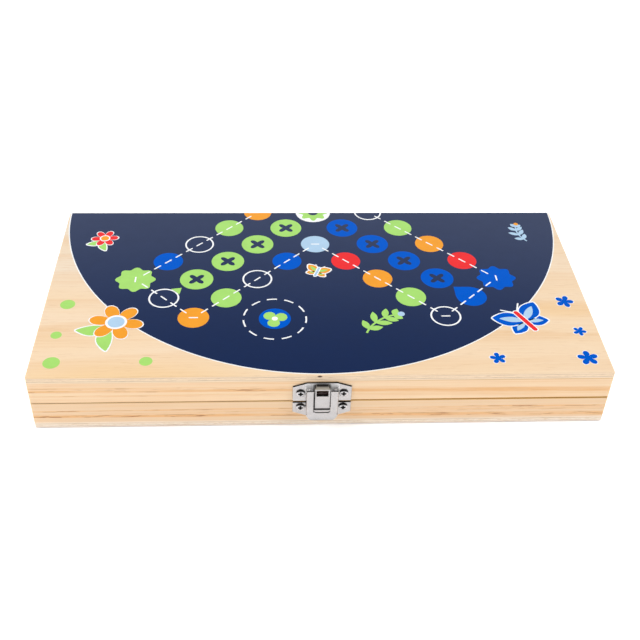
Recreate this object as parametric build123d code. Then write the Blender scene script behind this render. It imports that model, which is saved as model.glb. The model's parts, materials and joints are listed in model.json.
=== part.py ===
"""Folding ludo board box: two shallow wooden trays on butt hinges, closed by an over-centre latch.

Millimetres. The closed box stands on the outer face of its lower tray. The origin is the middle
of that face, +Z is up, the hinges are at the back (+Y) and the latch is at the front (-Y).
Opened by 180 degrees, the two outer faces lie in one plane and make one square board.
"""
import os
from math import asin, atan2, cos, degrees, hypot, radians, sin, sqrt

from build123d import *

# Trays
board_side = 290.0        # length of the box, and side of the unfolded square board
fold_gap = 0.3            # between the two back faces when the board lies open
parting_gap = 0.3         # between the two rims when the box is closed
panel_thickness = 3.8
rail_height = 13.05
rail_thickness = 9.0
corner_radius = 0.8
panel_chamfer = 0.4

# Butt hinges
hinge_inset = 57.0        # from each end of the box to the hinge's middle
leaf_length = 30.0
leaf_width = 6.6          # from the pin's axis to the leaf's far edge
leaf_thickness = 0.8
leaf_corner = 1.0
knuckle_count = 5
knuckle_gap = 0.3         # between neighbouring knuckles, and round the other leaf's knuckles
hinge_pin_radius = 0.75
hinge_pin_head = 0.45     # how far its head stands out, and how thick that head is
hinge_screw_spacing = 18.0
hinge_screw_inset = 3.7   # from the pin's axis
barrel_clearance = 0.3    # between the barrel and the hollow in the rails

# Clearances shared by all metalwork
pin_clearance = 0.05
screw_clearance = 0.03
mortise_clearance = 0.1

# Countersunk hinge screws
small_head_radius = 1.5
small_head_height = 0.6
small_shank_radius = 0.9
small_screw_length = 8.0

# Pan-head latch screws
pan_head_radius = 2.25
pan_head_height = 1.05
pan_head_rim = 0.45
pan_shank_radius = 1.1
pan_screw_length = 7.6
screw_tip_length = 2.0
recess_width = 0.55
recess_length = 2.5
recess_depth = 0.6

# Latch plates. Heights are above the parting line, depths outwards from the front face
latch_offset = -1.0       # the latch was screwed on this far from the middle
plate_half_width = 14.65
plate_thickness = 0.8
plate_corner = 0.6
plate_chamfer = 0.2
plate_flat_half = 7.45    # half of the straight edge between the cut corners
latch_screw_half = 10.7
keeper_low = 0.5
keeper_shoulder = 10.0
keeper_high = 12.55
keeper_screw_height = 6.0
base_high = -0.5
base_shoulder = -7.0
base_low = -9.9
base_screw_height = -3.4

# The base plate's tongue reaches up between the keeper's legs and carries the two cheeks
tongue_high = 6.0
tongue_gap = 0.35
tongue_relief = 0.2       # keeps the tongue off the upper rail
cheek_low = -1.0
cheek_thickness = 0.75
cheek_radius = 1.0

# Lever
lever_half_width = 7.95
lever_thickness = 0.7
lever_front = 4.5
lever_high = 10.1
lever_side_gap = 0.2      # between a lever flange and its cheek
lever_flange_radius = 1.25
lever_bend_radius = 0.9
lever_top_corner = 1.2
lever_bottom_corner = 3.8
lever_flange_low = -4.0
lip_start = -5.5
lip_radius = 7.0
lip_angle = 26.0
slot_low = -4.5
slot_corner = 1.6
rivet_radius = 0.6
rivet_head_radius = 1.0
rivet_head_height = 0.25

# Pivots, as depth and height
lever_pivot = (2.5, 9.0)
link_pivot = (2.1, -2.2)

# Link: a strap with a rolled eye, a window and a hooked top
link_half_width = 3.8
link_side_gap = 0.4
link_thickness = 0.6
link_pin_radius = 0.5
link_high = 11.95
link_hook_radius = 0.8
link_hook_end = 1.1
link_corner = 1.1
window_half_width = 3.0
window_low = 5.75
window_high = 9.7

# The keeper's tab sits under the link's hook
tab_half_width = 2.8
tab_hook_gap = 0.3
tab_reach = 2.0
tab_side_gap = 0.3

# Playing pieces, lying on the lower tray's floor
pawn_height = 24.0
pawn_base_radius = 6.0
pawn_base_height = 2.2
pawn_neck_radius = 2.1
pawn_waist_sag = 1.6      # how far the cone's side is hollowed
pawn_head_radius = 3.8
pawn_columns = 8
pawn_rows = 2
pawn_end_inset = 34.5     # from each end rail to the first and last column
pawn_pitch_y = 28.0
pawn_first_turn = 25.0
pawn_turn_step = 137.0
pawn_colours = ("green", "blue", "red", "orange")
die_side = 12.0
die_edge_radius = 1.4
die_turn = 24.0
play_clearance = 0.1      # under a loose piece
wall_clearance = 1.2      # between a loose piece and the rails

# Worked out
tray_depth = (board_side - fold_gap) / 2
tray_height = panel_thickness + rail_height
parting_height = tray_height + parting_gap / 2
back_y = tray_depth / 2
front_y = -back_y
hinge_axis_y = back_y + fold_gap / 2
knuckle_radius = hinge_pin_radius + pin_clearance + leaf_thickness
knuckle_pitch = leaf_length / knuckle_count
barrel_length = leaf_length + 2 * (hinge_pin_head + barrel_clearance)
tongue_half_width = lever_half_width - lever_thickness - lever_side_gap
cheek_inner = tongue_half_width - cheek_thickness
lever_inner = lever_front - lever_thickness
slot_half_width = link_half_width + link_side_gap
eye_radius = link_pin_radius + pin_clearance + link_thickness
link_front = link_pivot[0] + eye_radius
link_back = link_front - link_thickness
tab_high = link_high - link_thickness - tab_hook_gap
tab_low = tab_high - plate_thickness

LOW = (Align.CENTER, Align.CENTER, Align.MIN)
ALONG_X = Rot(0, 90, 0)
mirror_plane = Plane.XY.offset(parting_height)

# Latch pieces are drawn in this frame: x across, y up from the parting line, z outwards
latch_frame = Plane(origin=(latch_offset, front_y, parting_height), x_dir=(1, 0, 0), z_dir=(0, -1, 0))
# A side view in that frame: first coordinate outwards, second coordinate up
side_view = Plane(origin=(0, 0, 0), x_dir=(0, 0, 1), z_dir=(-1, 0, 0))


def turned(points):
    """Solid of revolution about Z from (radius, height) points that start and end on the axis."""
    profile = make_face(Polyline(*[(r, 0, z) for r, z in points], close=True))
    return revolve(profile, Axis.Z)


def along_x(radius, length):
    return ALONG_X * Cylinder(radius, length)


def cross_recess(top):
    """Cutter for a cross recess in a screw head whose top is at this height."""
    bar = Box(recess_length, recess_width, 2 * recess_depth)
    return Pos(0, 0, top) * (bar + Rot(0, 0, 90) * bar)


def countersunk_screw():
    """Head flush with z = 0, shank downwards."""
    screw = turned([(0, 0), (small_head_radius, 0), (small_shank_radius, -small_head_height),
                    (small_shank_radius, screw_tip_length - small_screw_length), (0, -small_screw_length)])
    return screw - cross_recess(0)


def pan_screw():
    """Domed head that seats on z = 0, shank downwards."""
    dome = make_face([
        Line((0, 0), (pan_head_radius, 0)),
        Line((pan_head_radius, 0), (pan_head_radius, pan_head_rim)),
        EllipticalCenterArc((0, pan_head_rim), pan_head_radius, pan_head_height - pan_head_rim,
                            start_angle=0, arc_size=90),
        Line((0, pan_head_height), (0, 0)),
    ])
    head = revolve(Plane.XZ * dome, Axis.Z)
    shank = turned([(0, 0), (pan_shank_radius, 0), (pan_shank_radius, screw_tip_length - pan_screw_length),
                    (0, -pan_screw_length)])
    return head + shank - cross_recess(pan_head_height)


def screw_hole(radius, length):
    """Hole that takes a shank and its tip, with its mouth at z = 0."""
    return Pos(0, 0, -length) * Cylinder(radius + screw_clearance, length, align=LOW)


def hinge_places():
    offset = board_side / 2 - hinge_inset
    return [Pos(side * offset, hinge_axis_y, parting_height) for side in (-1, 1)]


def hinge_screw_places():
    """Where a leaf's screws go, in the hinge's own frame, on the lower leaf's face."""
    return [Pos(side * hinge_screw_spacing / 2, -hinge_screw_inset, -parting_gap / 2) for side in (-1, 1)]


def panel():
    """Plywood sheet, outer face down, with rounded corners and a broken outer edge."""
    sheet = extrude(RectangleRounded(board_side, tray_depth, corner_radius), panel_thickness)
    return chamfer(sheet.faces().sort_by(Axis.Z)[0].edges(), panel_chamfer)


def long_rail(side):
    """Rail over the full length, at the back for side 1 and at the front for side -1."""
    rail = Pos(0, side * (tray_depth - rail_thickness) / 2, panel_thickness) * Box(
        board_side, rail_thickness, rail_height, align=LOW)
    outer_corners = rail.edges().filter_by(Axis.Z).group_by(Axis.Y)[-1 if side > 0 else 0]
    return fillet(outer_corners, corner_radius)


def short_rail(side):
    """End rail, butted between the two long rails."""
    return Pos(side * (board_side - rail_thickness) / 2, 0, panel_thickness) * Box(
        rail_thickness, tray_depth - 2 * rail_thickness, rail_height, align=LOW)


def hinge_seat():
    """Cutter for one lower leaf's mortise, the barrel's hollow and the screws, in the hinge's frame."""
    length = leaf_length + 2 * mortise_clearance
    width = leaf_width + mortise_clearance
    floor = -parting_gap / 2 - leaf_thickness
    mortise = Pos(0, -width / 2, floor) * Box(length, width, leaf_thickness + parting_gap, align=LOW)
    seat = mortise + along_x(knuckle_radius + barrel_clearance, barrel_length)
    for place in hinge_screw_places():
        seat += place * screw_hole(small_shank_radius, small_screw_length)
    return seat


def back_rail():
    rail = long_rail(1)
    for place in hinge_places():
        rail -= place * hinge_seat()
    return rail


def front_rail(rail, screw_height):
    """Drills the latch screws' holes in a front rail."""
    for side in (-1, 1):
        place = latch_frame * Pos(side * latch_screw_half, screw_height, plate_thickness)
        rail -= place * screw_hole(pan_shank_radius, pan_screw_length)
    return rail


def hinge_leaf(own_first):
    """Lower leaf in the hinge's frame. Its knuckles are every second one, from the first or the second."""
    middle = -parting_gap / 2 - leaf_thickness / 2
    plan = Rectangle(leaf_length, leaf_width)
    plan = fillet(plan.vertices().group_by(Axis.Y)[0], leaf_corner)
    leaf = Pos(0, -leaf_width / 2, middle - leaf_thickness / 2) * extrude(plan, leaf_thickness)
    for i in range(knuckle_count):
        place = Pos((i - (knuckle_count - 1) / 2) * knuckle_pitch, 0, 0)
        if i % 2 == (0 if own_first else 1):
            leaf += place * along_x(knuckle_radius, knuckle_pitch - knuckle_gap)
        else:
            leaf -= place * along_x(knuckle_radius + knuckle_gap, knuckle_pitch + knuckle_gap)
    leaf -= along_x(hinge_pin_radius + pin_clearance, leaf_length)
    rim = small_head_radius + screw_clearance
    hole = small_shank_radius + screw_clearance
    for place in hinge_screw_places():
        cone = Cone(hole, rim, small_head_height, align=(Align.CENTER, Align.CENTER, Align.MAX))
        leaf -= place * (cone + screw_hole(small_shank_radius, leaf_thickness))
    return leaf


def hinge_pin():
    """Pin with a flat head at each end of the barrel."""
    pin = along_x(hinge_pin_radius, leaf_length)
    for side in (-1, 1):
        pin += Pos(side * (leaf_length + hinge_pin_head) / 2, 0, 0) * along_x(
            hinge_pin_radius + hinge_pin_head, hinge_pin_head)
    return pin


def mirrored_plate(points, low, high):
    """Plate between two depths, from the right half of its outline, listed from bottom to top."""
    outline = points + [(-x, y) for x, y in reversed(points)]
    face = make_face(Polyline(*outline, close=True))
    face = fillet(face.vertices(), plate_corner)
    return Pos(0, 0, low) * extrude(face, high - low)


def latch_plate(points, screw_height):
    """Stamped plate with a broken front edge and two screw holes."""
    plate = mirrored_plate(points, 0, plate_thickness)
    plate = chamfer(plate.faces().sort_by(Axis.Z)[-1].edges(), plate_chamfer)
    for side in (-1, 1):
        plate -= Pos(side * latch_screw_half, screw_height, plate_thickness) * screw_hole(
            pan_shank_radius, plate_thickness)
    return plate


def keeper_plate():
    """Upper plate: two legs beside the base plate's tongue, and a tab bent outwards for the link."""
    plate = latch_plate([(plate_half_width, keeper_low), (plate_half_width, keeper_shoulder),
                         (plate_flat_half, keeper_high)], keeper_screw_height)
    notch_half = tongue_half_width + tongue_gap
    notch_high = tongue_high + tongue_gap
    notch = Pos(0, notch_high / 2, 0) * Box(2 * notch_half, notch_high, 4 * plate_thickness)
    slot_height = tab_low - notch_high
    slot = Pos(0, notch_high + slot_height / 2, 0) * Box(
        2 * (tab_half_width + tab_side_gap), slot_height, 4 * plate_thickness)
    tab = Pos(0, tab_low + plate_thickness / 2, 0) * Box(
        2 * tab_half_width, plate_thickness, tab_reach, align=LOW)
    tip = tab.faces().sort_by(Axis.Z)[-1].edges()
    return plate - notch - slot + fillet(tip, plate_chamfer)


def cheek():
    """Side view of a cheek: a foot on the tongue that tapers to the ear round the lever's pivot."""
    depth, height = lever_pivot
    ear = side_view * Pos(depth, height) * Circle(cheek_radius)
    web = side_view * make_face(Polyline(
        (plate_thickness / 2, cheek_low), (depth + cheek_radius, height), (depth - cheek_radius, height),
        (plate_thickness, tongue_high), (plate_thickness / 2, tongue_high), close=True))
    blank = extrude(ear, cheek_thickness / 2, both=True) + extrude(web, cheek_thickness / 2, both=True)
    return blank - Pos(0, height, depth) * along_x(rivet_radius + pin_clearance, 2 * cheek_thickness)


def base_plate():
    """Lower plate with a tongue that carries the two cheeks."""
    plate = latch_plate([(plate_flat_half, base_low), (plate_half_width, base_shoulder),
                         (plate_half_width, base_high)], base_screw_height)
    tongue_height = tongue_high - base_shoulder
    tongue = Pos(0, base_shoulder + tongue_height / 2, tongue_relief) * Box(
        2 * tongue_half_width, tongue_height, plate_thickness - tongue_relief, align=LOW)
    plate += tongue
    for side in (-1, 1):
        plate += Pos(side * (cheek_inner + cheek_thickness / 2), 0, 0) * cheek()
    return plate


def latch_rivets():
    """Two short rivets that hang the lever on the cheeks."""
    depth, height = lever_pivot
    length = lever_half_width - cheek_inner
    rivet = along_x(rivet_radius, length)
    for end in (-1, 1):
        rivet += Pos(end * (length + rivet_head_height) / 2, 0, 0) * along_x(
            rivet_head_radius, rivet_head_height)
    middle = (lever_half_width + cheek_inner) / 2
    return [Pos(side * middle, height, depth) * rivet for side in (-1, 1)]


def lever():
    """Pressed channel, open at the back, with a slot for the link and a lip to lift it by."""
    length = lever_high - lip_start
    depth = lever_front - (lever_pivot[0] - lever_flange_radius)
    outer = Rectangle(2 * lever_half_width, depth, align=(Align.CENTER, Align.MAX))
    outer = fillet(outer.vertices().group_by(Axis.Y)[-1], lever_bend_radius)
    inner = Pos(0, -lever_thickness) * Rectangle(
        2 * (lever_half_width - lever_thickness), depth, align=(Align.CENTER, Align.MAX))
    inner = fillet(inner.vertices().group_by(Axis.Y)[-1], lever_bend_radius - lever_thickness)
    section = Plane(origin=(0, lip_start, lever_front), x_dir=(-1, 0, 0), z_dir=(0, 1, 0)) * (outer - inner)
    channel = extrude(section, length)

    pivot_depth, pivot_height = lever_pivot
    flange_back = pivot_depth - lever_flange_radius
    flange = make_face(Polyline(
        (lever_front, lever_high), (pivot_depth, lever_high), (pivot_depth, pivot_height),
        (flange_back, pivot_height), (flange_back, lever_flange_low), (lever_inner, lip_start),
        (lever_front, lip_start), close=True))
    flange += Pos(pivot_depth, pivot_height) * Circle(lever_flange_radius)
    channel &= extrude(side_view * flange, lever_half_width, both=True)

    centre = (lever_front + lip_radius, lip_start)
    front_arc = CenterArc(centre, lip_radius, 180, lip_angle)
    back_arc = CenterArc(centre, lip_radius + lever_thickness, 180, lip_angle)
    tip = Line(front_arc @ 1, back_arc @ 1)
    root = Line(back_arc @ 0, front_arc @ 0)
    lip = make_face([front_arc, tip, back_arc, root])
    body = channel + extrude(side_view * lip, lever_half_width, both=True)

    lip_low = lip_start - (lip_radius + lever_thickness) * sin(radians(lip_angle))
    height = lever_high - lip_low
    outline = Rectangle(2 * lever_half_width, height, align=(Align.CENTER, Align.MIN))
    outline = fillet(outline.vertices().group_by(Axis.Y)[-1], lever_top_corner)
    outline = fillet(outline.vertices().group_by(Axis.Y)[0], lever_bottom_corner)
    body &= Pos(0, lip_low, 0) * extrude(outline, 2 * lever_front)

    slot = Rectangle(2 * slot_half_width, 2 * (lever_high - slot_low), align=(Align.CENTER, Align.MIN))
    slot = fillet(slot.vertices().group_by(Axis.Y)[0], slot_corner)
    body -= Pos(0, slot_low, 0) * extrude(slot, 2 * lever_front)
    for (pivot_z, pivot_y), radius in ((lever_pivot, rivet_radius), (link_pivot, link_pin_radius)):
        body -= Pos(0, pivot_y, pivot_z) * along_x(radius + pin_clearance, 4 * lever_half_width)
    return body


def link_pin():
    """Pin across the lever's flanges, through the link's eye."""
    depth, height = link_pivot
    pin = along_x(link_pin_radius, 2 * lever_half_width)
    for side in (-1, 1):
        pin += Pos(side * (lever_half_width + rivet_head_height / 2), 0, 0) * along_x(
            2 * link_pin_radius, rivet_head_height)
    return Pos(0, height, depth) * pin


def link():
    """Strap with a rolled eye at the bottom, a window, and a top that hooks back over the tab."""
    depth, height = link_pivot
    hook_centre = (link_front - link_hook_radius, link_high - link_hook_radius)
    hook_inner = link_hook_radius - link_thickness
    eye = Pos(depth, height) * Circle(eye_radius)
    front = [
        Line((link_front, height), (link_front, hook_centre[1])),
        CenterArc(hook_centre, link_hook_radius, 0, 90),
        Line((hook_centre[0], link_high), (link_hook_end, link_high)),
        Line((link_hook_end, link_high), (link_hook_end, link_high - link_thickness)),
        Line((link_hook_end, link_high - link_thickness), (hook_centre[0], link_high - link_thickness)),
        CenterArc(hook_centre, hook_inner, 90, -90),
        Line((link_back, hook_centre[1]), (link_back, height)),
        Line((link_back, height), (link_front, height)),
    ]
    profile = make_face(front) + eye
    strap = extrude(side_view * profile, link_half_width, both=True)
    full_height = link_high - height + eye_radius
    outline = Rectangle(2 * link_half_width, full_height, align=(Align.CENTER, Align.MIN))
    outline = fillet(outline.vertices().group_by(Axis.Y)[-1], link_corner)
    strap &= Pos(0, height - eye_radius, 0) * extrude(outline, 2 * link_front)
    window_height = window_high - window_low
    strap -= Pos(0, window_low + window_height / 2, link_front) * Box(
        2 * window_half_width, window_height, 4 * link_thickness)
    strap -= Pos(0, height, depth) * along_x(link_pin_radius + pin_clearance, 4 * link_half_width)
    return strap


def pawn():
    """Upright pawn: a disc foot, a hollow-sided cone and a ball head."""
    ball_middle = pawn_height - pawn_head_radius
    shoulder = (pawn_base_radius, pawn_base_height)
    neck = (pawn_neck_radius, ball_middle - sqrt(pawn_head_radius**2 - pawn_neck_radius**2))
    side = make_face([
        Line((0, 0), (pawn_base_radius, 0)),
        Line((pawn_base_radius, 0), shoulder),
        SagittaArc(shoulder, neck, pawn_waist_sag),
        Line(neck, (0, ball_middle)),
        Line((0, ball_middle), (0, 0)),
    ])
    return revolve(Plane.XZ * side, Axis.Z) + Pos(0, 0, ball_middle) * Sphere(pawn_head_radius)


def lying_pawn():
    """Pawn on its side, resting on the edge of its foot and on its head, with its middle at x = 0."""
    span = pawn_height - pawn_head_radius - pawn_base_height
    tilt = atan2(pawn_base_radius, span) - asin(pawn_head_radius / hypot(pawn_base_radius, span))
    rise = pawn_base_radius * cos(tilt) + pawn_base_height * sin(tilt)
    return Pos(-pawn_height / 2, 0, rise + play_clearance) * Rot(0, 90 + degrees(tilt), 0) * pawn()


def pawn_places():
    """A loose grid against the back rail, each pawn turned differently."""
    reach = hypot(pawn_height / 2, pawn_base_radius)
    last_row = back_y - rail_thickness - wall_clearance - reach
    last_column = board_side / 2 - rail_thickness - pawn_end_inset
    pitch_x = 2 * last_column / (pawn_columns - 1)
    places = []
    for column in range(pawn_columns):
        for row in range(pawn_rows):
            x = column * pitch_x - last_column
            y = last_row - row * pawn_pitch_y
            turn = pawn_first_turn + pawn_turn_step * len(places)
            places.append(Pos(x, y, panel_thickness) * Rot(0, 0, turn))
    return places


def die():
    """Cube with rounded edges, beside the pawns."""
    cube = Box(die_side, die_side, die_side, align=LOW)
    cube = fillet(cube.edges(), die_edge_radius)
    reach = die_side / 2 * (abs(cos(radians(die_turn))) + abs(sin(radians(die_turn))))
    x = board_side / 2 - rail_thickness - wall_clearance - reach
    y = back_y - rail_thickness - wall_clearance - reach
    return Pos(x, y, panel_thickness + play_clearance) * Rot(0, 0, die_turn) * cube


def build_nodes():
    """Every piece of the box at its place in the closed box, by name."""
    nodes = {}

    nodes["lower_panel"] = panel()
    nodes["lower_back_rail"] = back_rail()
    nodes["lower_left_rail"] = short_rail(-1)
    nodes["lower_right_rail"] = short_rail(1)
    for name in list(nodes):
        nodes[name.replace("lower", "upper")] = mirror(nodes[name], about=mirror_plane)
    nodes["lower_front_rail"] = front_rail(long_rail(-1), base_screw_height)
    nodes["upper_front_rail"] = front_rail(mirror(long_rail(-1), about=mirror_plane), keeper_screw_height)

    for place, side in zip(hinge_places(), ("left", "right")):
        nodes[f"{side}_hinge_lower_leaf"] = place * hinge_leaf(True)
        nodes[f"{side}_hinge_upper_leaf"] = mirror(place * hinge_leaf(False), about=mirror_plane)
        nodes[f"{side}_hinge_pin"] = place * hinge_pin()
    screws = [
        hinge * place * countersunk_screw()
        for hinge in hinge_places() for place in hinge_screw_places()]
    nodes["hinge_lower_screws"] = Compound(screws)
    nodes["hinge_upper_screws"] = Compound([mirror(screw, about=mirror_plane) for screw in screws])

    nodes["latch_keeper_plate"] = latch_frame * keeper_plate()
    nodes["latch_base_plate"] = latch_frame * base_plate()
    for name, height in (("keeper", keeper_screw_height), ("base", base_screw_height)):
        nodes[f"latch_{name}_screws"] = Compound([
            latch_frame * Pos(side * latch_screw_half, height, plate_thickness) * pan_screw()
            for side in (-1, 1)])
    nodes["latch_rivets"] = Compound([latch_frame * rivet for rivet in latch_rivets()])
    nodes["latch_lever"] = latch_frame * lever()
    nodes["latch_link"] = latch_frame * link()
    nodes["latch_link_pin"] = latch_frame * link_pin()

    places = pawn_places()
    share = len(places) // len(pawn_colours)
    for i, colour in enumerate(pawn_colours):
        own = places[i * share:(i + 1) * share]
        nodes[f"{colour}_pawns"] = Compound([place * lying_pawn() for place in own])
    nodes["die"] = die()
    return nodes


os.makedirs("parts", exist_ok=True)
for node_name, shape in build_nodes().items():
    export_step(shape, f"parts/{node_name}.step")
    print(node_name)
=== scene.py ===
import json
from math import pi, radians, sqrt

import bpy
import numpy as np
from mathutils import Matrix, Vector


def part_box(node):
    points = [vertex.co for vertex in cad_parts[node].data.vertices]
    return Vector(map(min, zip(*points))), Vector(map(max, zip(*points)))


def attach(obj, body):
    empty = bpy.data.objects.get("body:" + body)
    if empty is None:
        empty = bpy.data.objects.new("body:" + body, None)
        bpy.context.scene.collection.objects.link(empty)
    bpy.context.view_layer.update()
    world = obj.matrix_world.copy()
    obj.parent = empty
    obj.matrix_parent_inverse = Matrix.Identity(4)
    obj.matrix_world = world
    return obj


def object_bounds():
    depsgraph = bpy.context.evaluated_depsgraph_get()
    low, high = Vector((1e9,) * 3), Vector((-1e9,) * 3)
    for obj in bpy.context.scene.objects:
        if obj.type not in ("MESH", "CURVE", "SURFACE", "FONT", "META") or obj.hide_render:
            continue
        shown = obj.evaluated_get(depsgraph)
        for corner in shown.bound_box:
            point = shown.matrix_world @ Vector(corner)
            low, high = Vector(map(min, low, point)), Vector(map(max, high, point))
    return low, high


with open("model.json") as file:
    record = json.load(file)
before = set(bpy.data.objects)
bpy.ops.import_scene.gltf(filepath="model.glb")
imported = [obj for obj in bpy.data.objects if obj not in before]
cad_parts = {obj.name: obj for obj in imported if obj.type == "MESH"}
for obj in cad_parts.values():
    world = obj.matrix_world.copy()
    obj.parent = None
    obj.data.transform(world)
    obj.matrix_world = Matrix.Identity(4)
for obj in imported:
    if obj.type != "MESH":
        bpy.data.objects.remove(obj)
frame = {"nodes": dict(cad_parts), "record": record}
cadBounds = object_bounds()
mm = 0.001
boxLow, boxHigh = (np.array(corner) / mm for corner in cadBounds)
panelLow, panelHigh = (np.array(corner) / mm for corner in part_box("lower_panel"))
print("frame loaded:", len(frame["nodes"]), "nodes")


cameraSettings = {
    "place": (-0.0281, -0.4192, 0.3548),
    "turn": (50.57, -1.69, -2.68),  # degrees about X, Y and Z
    "lens": 54.29,  # mm
    "sensor": 36.0,  # mm, its width
    "nearest": 0.01,
}

studio = {
    "wall": (1.0, 1.0, 1.0),  # white paper round the table
    "ceiling": (0.030, 0.033, 0.042),  # the unlit room above
    "wallTop": 0.372,  # sine of the angle where the wall ends
    "wallTilt": 0.18,  # that much higher behind, lower in front
    "softness": 0.165,
    "strength": 0.85,
    "floorSide": 6.0,
    "floorDrop": 0.0003,  # below the box
    "floorColour": (0.92, 0.92, 0.92),
    "floorRoughness": 0.9,
    "floorGloss": 0.2,
    "floorGlow": 0.36,  # lit from below as well
}

# where each softbox stands, its side in metres and its power in watts
softboxes = {
    "left": ((-1.15, -0.10, 1.20), 1.1, 25.0),
    "right": ((1.20, -0.15, 1.15), 1.1, 21.0),
    "front": ((-0.10, -1.90, 0.30), 1.4, 2.0),
}


def addObject(name, data):
    thing = bpy.data.objects.new(name, data)
    bpy.context.scene.collection.objects.link(thing)
    return thing


def addCamera():
    data = bpy.data.cameras.new("camera")
    data.sensor_fit = "HORIZONTAL"
    data.sensor_width = cameraSettings["sensor"]
    data.lens = cameraSettings["lens"]
    data.clip_start = cameraSettings["nearest"]
    camera = addObject("camera", data)
    camera.location = cameraSettings["place"]
    camera.rotation_euler = [radians(angle) for angle in cameraSettings["turn"]]
    bpy.context.scene.camera = camera


def addSoftboxes():
    for name, (place, side, power) in softboxes.items():
        data = bpy.data.lights.new("softbox_" + name, "AREA")
        data.shape = "SQUARE"
        data.size = side
        data.energy = power
        light = addObject("softbox_" + name, data)
        light.location = place
        light.rotation_euler = (-light.location).to_track_quat("-Z", "Y").to_euler()


class Nodes:
    # n("TexNoise", Scale=4.0) adds a node to the tree and returns it

    def __init__(self, tree):
        self.tree = tree

    def __call__(self, kind, settings=None, **inputs):
        node = self.tree.nodes.new("ShaderNode" + kind)
        for key, value in (settings or {}).items():
            setattr(node, key, value)
        return self.fill(node, **inputs)

    def fill(self, node, *values, **named):
        # values go to the inputs in their order, named ones by name
        for socket, value in zip(node.inputs, values):
            self.feed(socket, value)
        for key, value in named.items():
            self.feed(node.inputs[key.replace("_", " ")], value)
        return node

    def feed(self, socket, value):
        if isinstance(value, bpy.types.NodeSocket):
            self.tree.links.new(value, socket)
        elif hasattr(value, "__len__") and socket.type == "RGBA":
            socket.default_value = (*value[:3], 1.0)
        else:
            socket.default_value = value

    def math(self, operation, *values, clamp=False):
        node = self("Math", {"operation": operation, "use_clamp": clamp})
        return self.fill(node, *values).outputs[0]

    def chain(self, operation, first, *others, clamp=False):
        # the operation on all values from left to right
        for value in others[:-1]:
            first = self.math(operation, first, value)
        return self.math(operation, first, others[-1], clamp=clamp)

    def plus(self, *values):
        return self.chain("ADD", *values)

    def times(self, *values, clamp=False):
        return self.chain("MULTIPLY", *values, clamp=clamp)

    def most(self, *values):
        return self.chain("MAXIMUM", *values)

    def minus(self, value, other):
        return self.math("SUBTRACT", value, other)

    def gap(self, value, other):
        return self.math("ABSOLUTE", self.minus(value, other))

    def swing(self, value, middle, amount):
        # how far the value lies above its middle, scaled
        return self.times(self.minus(value, middle), amount)

    def vector(self, operation, *values):
        node = self.fill(self("VectorMath", {"operation": operation}), *values)
        return node.outputs["Value" if operation in ("LENGTH", "DOT_PRODUCT") else "Vector"]

    def mix(self, factor, low, high):
        node = self("Mix", {"data_type": "RGBA"})
        for index, value in ((0, factor), (6, low), (7, high)):
            self.feed(node.inputs[index], value)
        return node.outputs[2]

    def range(self, value, fromLow, fromHigh, toLow=0.0, toHigh=1.0, shape="SMOOTHSTEP"):
        node = self("MapRange", {"interpolation_type": shape})
        return self.fill(node, value, fromLow, fromHigh, toLow, toHigh).outputs[0]

    def band(self, value, middle, half, core=0.15):
        # 1 within core of the half width round the middle, 0 beyond the half width
        away = self.math("DIVIDE", self.gap(value, middle), half)
        return self.range(away, core, 1.0, 1.0, 0.0)

    def noise(self, vector, scale=1.0, detail=3.0, roughness=0.5):
        node = self("TexNoise", Vector=vector, Scale=scale, Detail=detail, Roughness=roughness)
        return node.outputs["Fac"]

    def stretch(self, vector, *scales):
        return self.vector("MULTIPLY", vector, scales)

    def split(self, vector):
        return self("SeparateXYZ", Vector=vector).outputs

    def join(self, x, y, z):
        return self("CombineXYZ", X=x, Y=y, Z=z).outputs[0]

    def group(self, tree, **inputs):
        return self("Group", {"node_tree": tree}, **inputs).outputs


def newMaterial(name):
    material = bpy.data.materials.new(name)
    material.use_nodes = True
    tree = material.node_tree
    return material, Nodes(tree), tree.nodes["Principled BSDF"]


def addSurroundings():
    # white up to the wall's top, then dark: the height's sine less a share of how far it looks back
    world = bpy.data.worlds.new("studio")
    bpy.context.scene.world = world
    world.use_nodes = True
    tree = world.node_tree
    tree.nodes.clear()
    n = Nodes(tree)
    _, back, up = n.split(n("TexCoord").outputs["Generated"])
    height = n.minus(up, n.times(back, studio["wallTilt"]))
    share = n.range(height, studio["wallTop"], studio["wallTop"] + studio["softness"])
    colour = n.mix(share, studio["wall"], studio["ceiling"])
    background = n("Background", Color=colour, Strength=studio["strength"])
    tree.links.new(background.outputs[0], n("OutputWorld").inputs["Surface"])


def addFloor():
    half, z = studio["floorSide"] / 2, -studio["floorDrop"]
    mesh = bpy.data.meshes.new("floor")
    mesh.from_pydata([(-half, -half, z), (half, -half, z), (half, half, z), (-half, half, z)], [],
                     [(0, 1, 2, 3)])
    material, n, shader = newMaterial("floor_paper")
    n.fill(shader, Base_Color=studio["floorColour"], Roughness=studio["floorRoughness"],
           Specular_IOR_Level=studio["floorGloss"], Emission_Color=studio["floorColour"],
           Emission_Strength=studio["floorGlow"])
    mesh.materials.append(material)
    floor = addObject("floor", mesh)


bpy.context.scene.view_settings.view_transform = "Standard"
addCamera()
addSoftboxes()
addSurroundings()
addFloor()
print("camera, lights and floor placed")


def newGroup(name, vectors, numbers, results):
    # a group that takes vectors and numbers and gives numbers
    group = bpy.data.node_groups.new(name, "ShaderNodeTree")
    for keys, inOut, kind in ((vectors, "INPUT", "Vector"), (numbers, "INPUT", "Float"),
                              (results, "OUTPUT", "Float")):
        for key in keys:
            group.interface.new_socket(key, in_out=inOut, socket_type="NodeSocket" + kind)
    given = group.nodes.new("NodeGroupInput")
    result = group.nodes.new("NodeGroupOutput")
    return Nodes(group), given.outputs, result.inputs


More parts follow.
